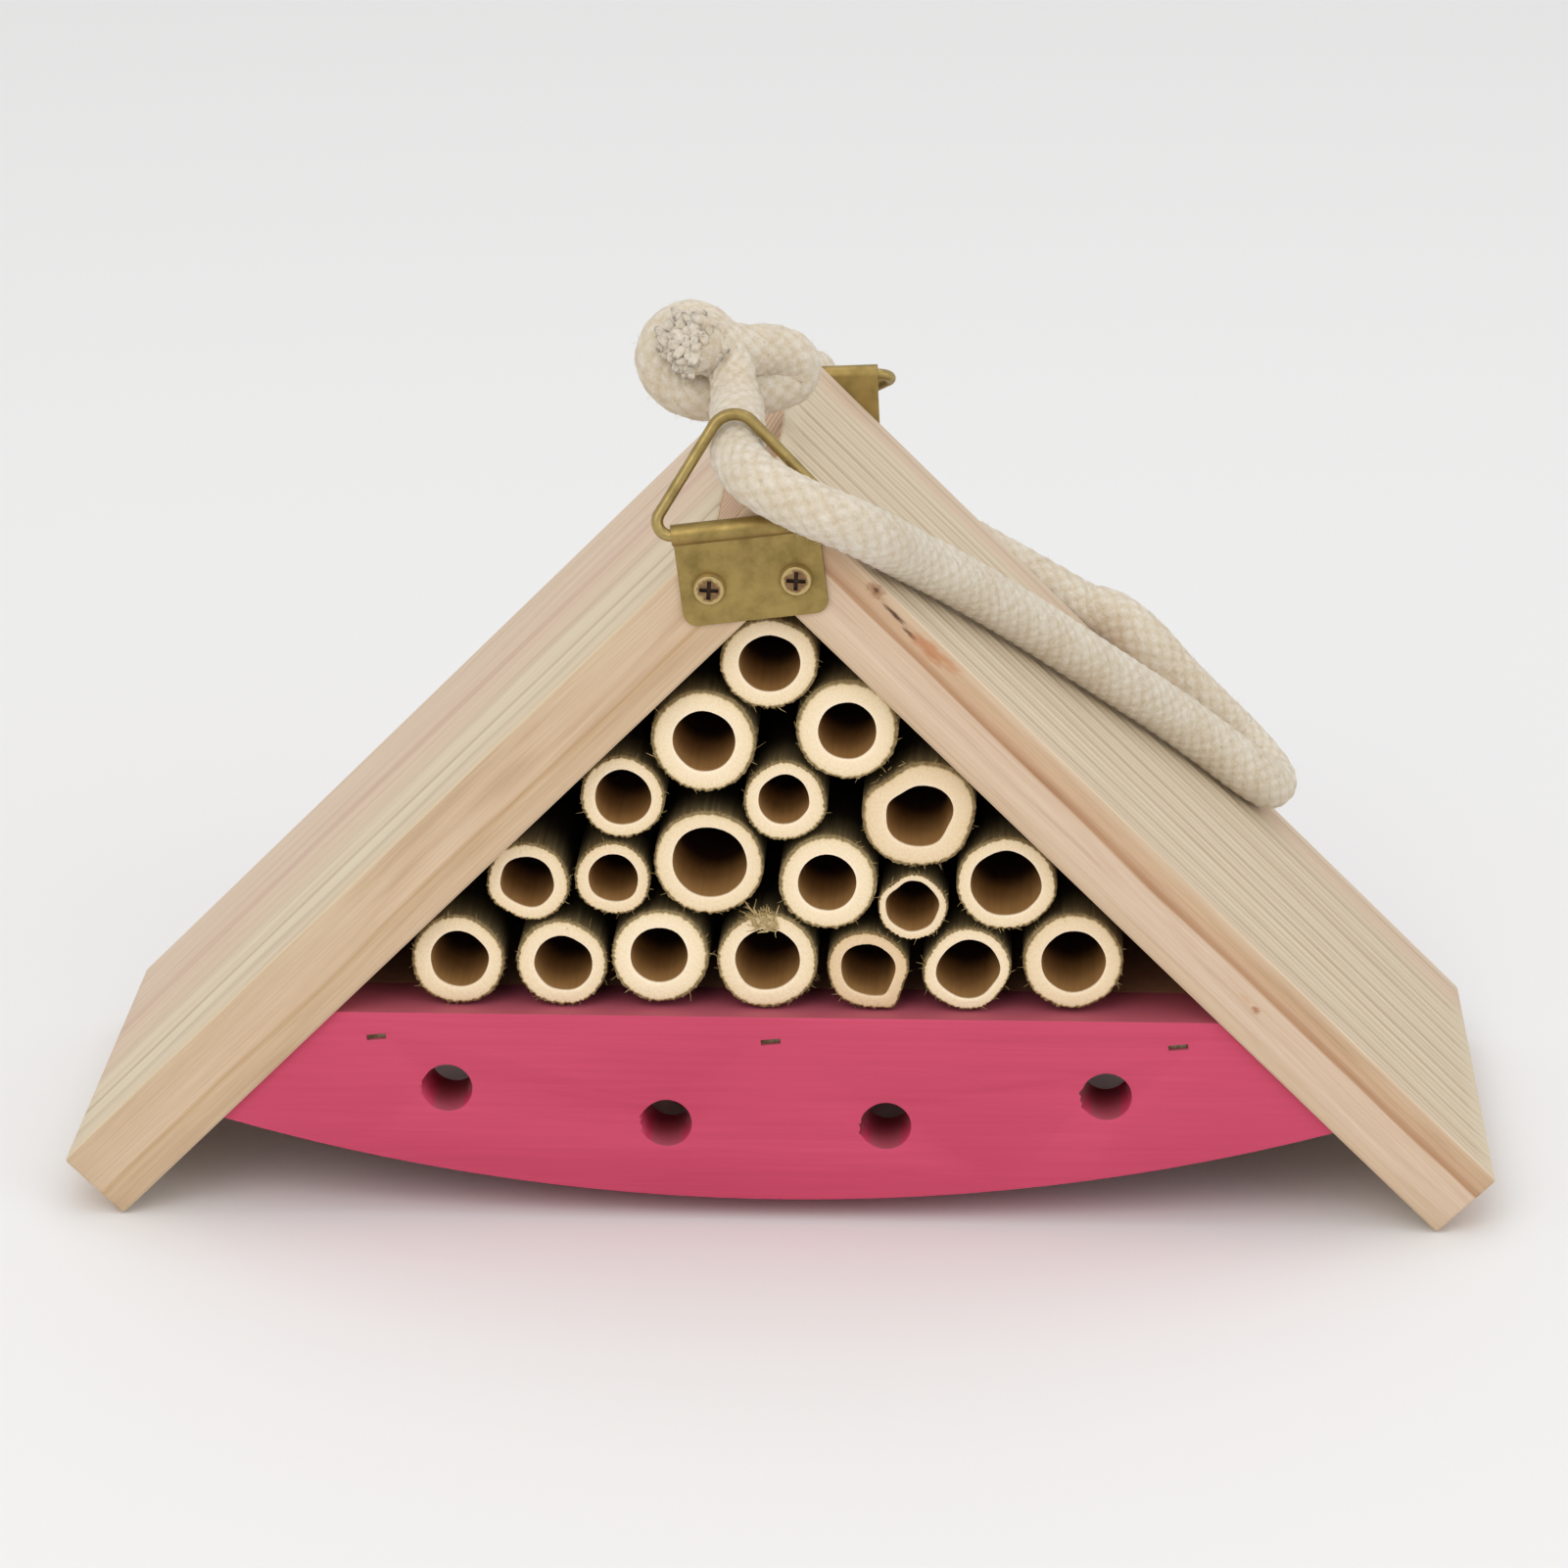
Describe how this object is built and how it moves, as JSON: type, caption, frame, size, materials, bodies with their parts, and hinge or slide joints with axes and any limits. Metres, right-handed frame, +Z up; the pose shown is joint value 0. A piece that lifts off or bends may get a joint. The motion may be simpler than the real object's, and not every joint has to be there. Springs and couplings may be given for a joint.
{
  "type": "insect hotel",
  "caption": "Hanging insect hotel: ridged timber roof over stacked bamboo tubes, a curved painted panel with round holes, brass ring hangers and a cotton rope.",
  "frame": {"origin": "on the standing plane of the two eaves, under the middle of the object's box measured without the rope and knots", "axes": "+Z up, the open tube ends and the painted panel face -Y, +X to the right when seen from the front"},
  "size_m": [0.2644, 0.1485, 0.1681],
  "materials": {
    "roof_timber": "planed softwood, untreated",
    "floor_timber": "sawn timber, stained brown",
    "painted_wood": "crimson pink paint, satin",
    "bamboo": "cut bamboo cane, dry",
    "hanger_brass": "brass plated sheet, tarnished",
    "ring_wire": "brass plated wire",
    "screw_metal": "yellow passivated steel",
    "staple_steel": "galvanised wire",
    "cotton_rope": "braided cotton"
  },
  "bodies": {
    "root": {"left_roof_board": "roof_timber", "right_roof_board": "roof_timber", "floor_board": "floor_timber", "front_panel": "painted_wood", "back_wall": "painted_wood", "bamboo_tube_01": "bamboo", "bamboo_tube_02": "bamboo", "bamboo_tube_03": "bamboo", "bamboo_tube_04": "bamboo", "bamboo_tube_05": "bamboo", "bamboo_tube_06": "bamboo", "bamboo_tube_07": "bamboo", "bamboo_tube_08": "bamboo", "bamboo_tube_09": "bamboo", "bamboo_tube_10": "bamboo", "bamboo_tube_11": "bamboo", "bamboo_tube_12": "bamboo", "bamboo_tube_13": "bamboo", "bamboo_tube_14": "bamboo", "bamboo_tube_15": "bamboo", "bamboo_tube_16": "bamboo", "bamboo_tube_17": "bamboo", "bamboo_tube_18": "bamboo", "bamboo_tube_19": "bamboo", "front_hanger_plate": "hanger_brass", "front_hanger_screws": "screw_metal", "rear_hanger_plate": "hanger_brass", "rear_hanger_screws": "screw_metal", "panel_staples": "staple_steel", "back_wall_staples": "staple_steel", "rope": "cotton_rope"},
    "front_ring": {"front_ring": "ring_wire", "front_knot": "cotton_rope"},
    "rear_ring": {"rear_ring": "ring_wire", "rear_knot": "cotton_rope"}
  },
  "joints": [
    {"name": "front_ring_hinge", "type": "hinge", "parent": "root", "child": "front_ring", "pos_m": [-0.005, -0.05835, 0.1348], "axis": [0.9925, 0, 0.1219], "range_deg": [0, 160], "deforming": ["rope", "front_knot"]},
    {"name": "rear_ring_hinge", "type": "hinge", "parent": "root", "child": "rear_ring", "pos_m": [0.0027, 0.04255, 0.1353], "axis": [0.999, 0, 0.0436], "range_deg": [0, 170], "deforming": ["rear_knot"]}
  ]
}
